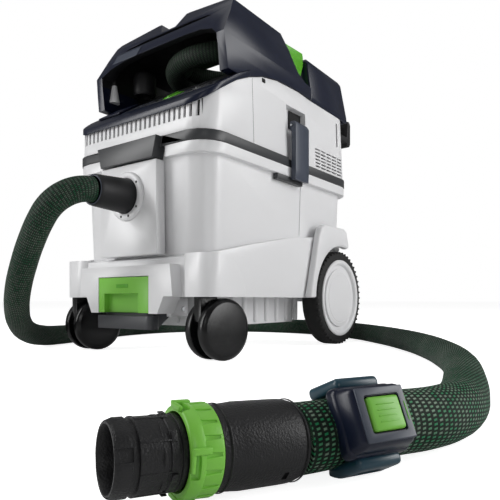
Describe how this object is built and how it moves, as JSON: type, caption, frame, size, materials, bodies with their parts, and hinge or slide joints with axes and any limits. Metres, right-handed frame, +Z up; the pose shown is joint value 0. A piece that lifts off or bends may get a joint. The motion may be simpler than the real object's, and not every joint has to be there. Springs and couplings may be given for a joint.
{
  "type": "mobile dust extractor",
  "caption": "Wheeled dust extractor: white container and motor head, navy control deck and hose bay with a case dock, braided suction hose with a bayonet tool coupling.",
  "frame": {"origin": "on the floor under the middle of the machine's overall length and width, hose left out", "axes": "+X to the machine's right as seen from its inlet side, +Y to the rear with the large wheels and cable hooks, +Z up"},
  "size_m": [1.0403, 1.1481, 0.62],
  "materials": {
    "white_plastic": "satin moulded plastic",
    "navy_plastic": "semi-gloss dark navy moulding",
    "band_grey": "matt grey moulding",
    "green_plastic": "bright green moulding",
    "black_plastic": "black moulding",
    "pedal_grey": "matt dark grey moulding",
    "tyre_rubber": "black moulded tread",
    "soft_rubber": "soft black rubber",
    "steel": "turned steel",
    "cast_alloy": "plain alloy and plastic, inside",
    "filter_paper": "pleated filter paper, inside",
    "hose_braid": "woven sleeve over a ribbed hose, dark with light green dashes"
  },
  "bodies": {
    "base": {"container": "white_plastic", "inlet_panel": "white_plastic", "inlet_collar": "white_plastic", "inlet_cuff": "black_plastic", "chassis": "white_plastic", "wheel_fender_right": "white_plastic", "wheel_fender_left": "white_plastic", "latch_catch_right": "band_grey", "latch_catch_left": "band_grey", "rear_axle": "steel", "castor_pin_right": "steel", "castor_pin_left": "steel", "brake_shaft": "steel", "hose": "hose_braid", "coupling_sleeve": "soft_rubber", "bayonet_end": "soft_rubber", "remote_strap": "soft_rubber", "remote_housing": "navy_plastic"},
    "head": {"head_shell": "white_plastic", "head_frame": "band_grey", "motor": "cast_alloy", "main_filter": "filter_paper", "control_deck": "navy_plastic", "tool_socket": "black_plastic", "hose_bay": "navy_plastic", "rear_cover": "navy_plastic", "latch_pin_right": "steel", "latch_pin_left": "steel", "cable_hook_right": "black_plastic", "cable_hook_left": "black_plastic", "stowed_hose": "hose_braid", "stowed_fitting": "soft_rubber"},
    "fan": {"fan_impeller": "cast_alloy"},
    "latch_lever_right": {"latch_right": "navy_plastic"},
    "latch_lever_left": {"latch_left": "navy_plastic"},
    "castor_right": {"castor_fork_right": "black_plastic", "castor_axle_right": "steel"},
    "castor_left": {"castor_fork_left": "black_plastic", "castor_axle_left": "steel"},
    "castor_discs_right": {"castor_wheel_inner_right": "black_plastic", "castor_wheel_outer_right": "black_plastic"},
    "castor_discs_left": {"castor_wheel_inner_left": "black_plastic", "castor_wheel_outer_left": "black_plastic"},
    "rear_wheel_right": {"tyre_right": "tyre_rubber", "wheel_rim_right": "white_plastic", "hub_cap_right": "white_plastic"},
    "rear_wheel_left": {"tyre_left": "tyre_rubber", "wheel_rim_left": "white_plastic", "hub_cap_left": "white_plastic"},
    "brake_lever": {"brake_plate": "green_plastic", "brake_pedal": "pedal_grey"},
    "suction_knob": {"suction_dial": "green_plastic"},
    "mode_knob": {"mode_dial": "band_grey"},
    "lid": {"socket_lid": "navy_plastic"},
    "clamp": {"case_clamp": "green_plastic"},
    "ring": {"locking_ring": "green_plastic"},
    "button": {"remote_button": "green_plastic"}
  },
  "joints": [
    {"name": "head_lift", "type": "slide", "parent": "base", "child": "head", "axis": [0, 0, 1], "range_m": [0, 0.12]},
    {"name": "fan_spin", "type": "hinge", "parent": "head", "child": "fan", "pos_m": [0, 0.0575, 0.378], "axis": [0, 0, 1], "continuous": true},
    {"name": "latch_right_open", "type": "hinge", "parent": "head", "child": "latch_lever_right", "pos_m": [0.174, -0.0185, 0.424], "axis": [0, -1, 0], "range_deg": [0, 70]},
    {"name": "latch_left_open", "type": "hinge", "parent": "head", "child": "latch_lever_left", "pos_m": [-0.174, -0.0185, 0.424], "axis": [0, 1, 0], "range_deg": [0, 70]},
    {"name": "castor_right_swivel", "type": "hinge", "parent": "base", "child": "castor_right", "pos_m": [0.157, -0.2665, 0.1], "axis": [0, 0, 1], "continuous": true},
    {"name": "castor_left_swivel", "type": "hinge", "parent": "base", "child": "castor_left", "pos_m": [-0.157, -0.2665, 0.1], "axis": [0, 0, 1], "continuous": true},
    {"name": "castor_right_roll", "type": "hinge", "parent": "castor_right", "child": "castor_discs_right", "pos_m": [0.16034, -0.24273, 0.049], "axis": [0.9903, -0.1392, 0], "continuous": true},
    {"name": "castor_left_roll", "type": "hinge", "parent": "castor_left", "child": "castor_discs_left", "pos_m": [-0.15512, -0.24257, 0.049], "axis": [0.9969, -0.0785, 0], "continuous": true},
    {"name": "rear_right_roll", "type": "hinge", "parent": "base", "child": "rear_wheel_right", "pos_m": [0.161, 0.1455, 0.1], "axis": [1, 0, 0], "continuous": true},
    {"name": "rear_left_roll", "type": "hinge", "parent": "base", "child": "rear_wheel_left", "pos_m": [-0.161, 0.1455, 0.1], "axis": [1, 0, 0], "continuous": true},
    {"name": "brake_press", "type": "hinge", "parent": "base", "child": "brake_lever", "pos_m": [0, -0.2375, 0.08], "axis": [1, 0, 0], "range_deg": [0, 9]},
    {"name": "suction_turn", "type": "hinge", "parent": "head", "child": "suction_knob", "pos_m": [0.042, -0.22182, 0.45409], "axis": [0, -0.545, 0.8384], "range_deg": [-135, 135]},
    {"name": "mode_turn", "type": "hinge", "parent": "head", "child": "mode_knob", "pos_m": [0.108, -0.22182, 0.45409], "axis": [0, -0.545, 0.8384], "range_deg": [-60, 60]},
    {"name": "lid_open", "type": "hinge", "parent": "head", "child": "lid", "pos_m": [-0.104, -0.19996, 0.47367], "axis": [-1, 0, 0], "range_deg": [0, 100]},
    {"name": "clamp_fold", "type": "hinge", "parent": "head", "child": "clamp", "pos_m": [0, 0.0235, 0.546], "axis": [1, 0, 0], "range_deg": [0, 10]},
    {"name": "ring_turn", "type": "hinge", "parent": "base", "child": "ring", "pos_m": [0.5485, -0.6391, 0.0214], "axis": [-0.3952, -0.9175, 0.045], "range_deg": [0, 45]},
    {"name": "button_press", "type": "slide", "parent": "base", "child": "button", "axis": [-0.8094, 0.3945, -0.435], "range_m": [0, 0.0015], "stiffness_N_per_m": 400, "springref_m": -0.0006}
  ]
}
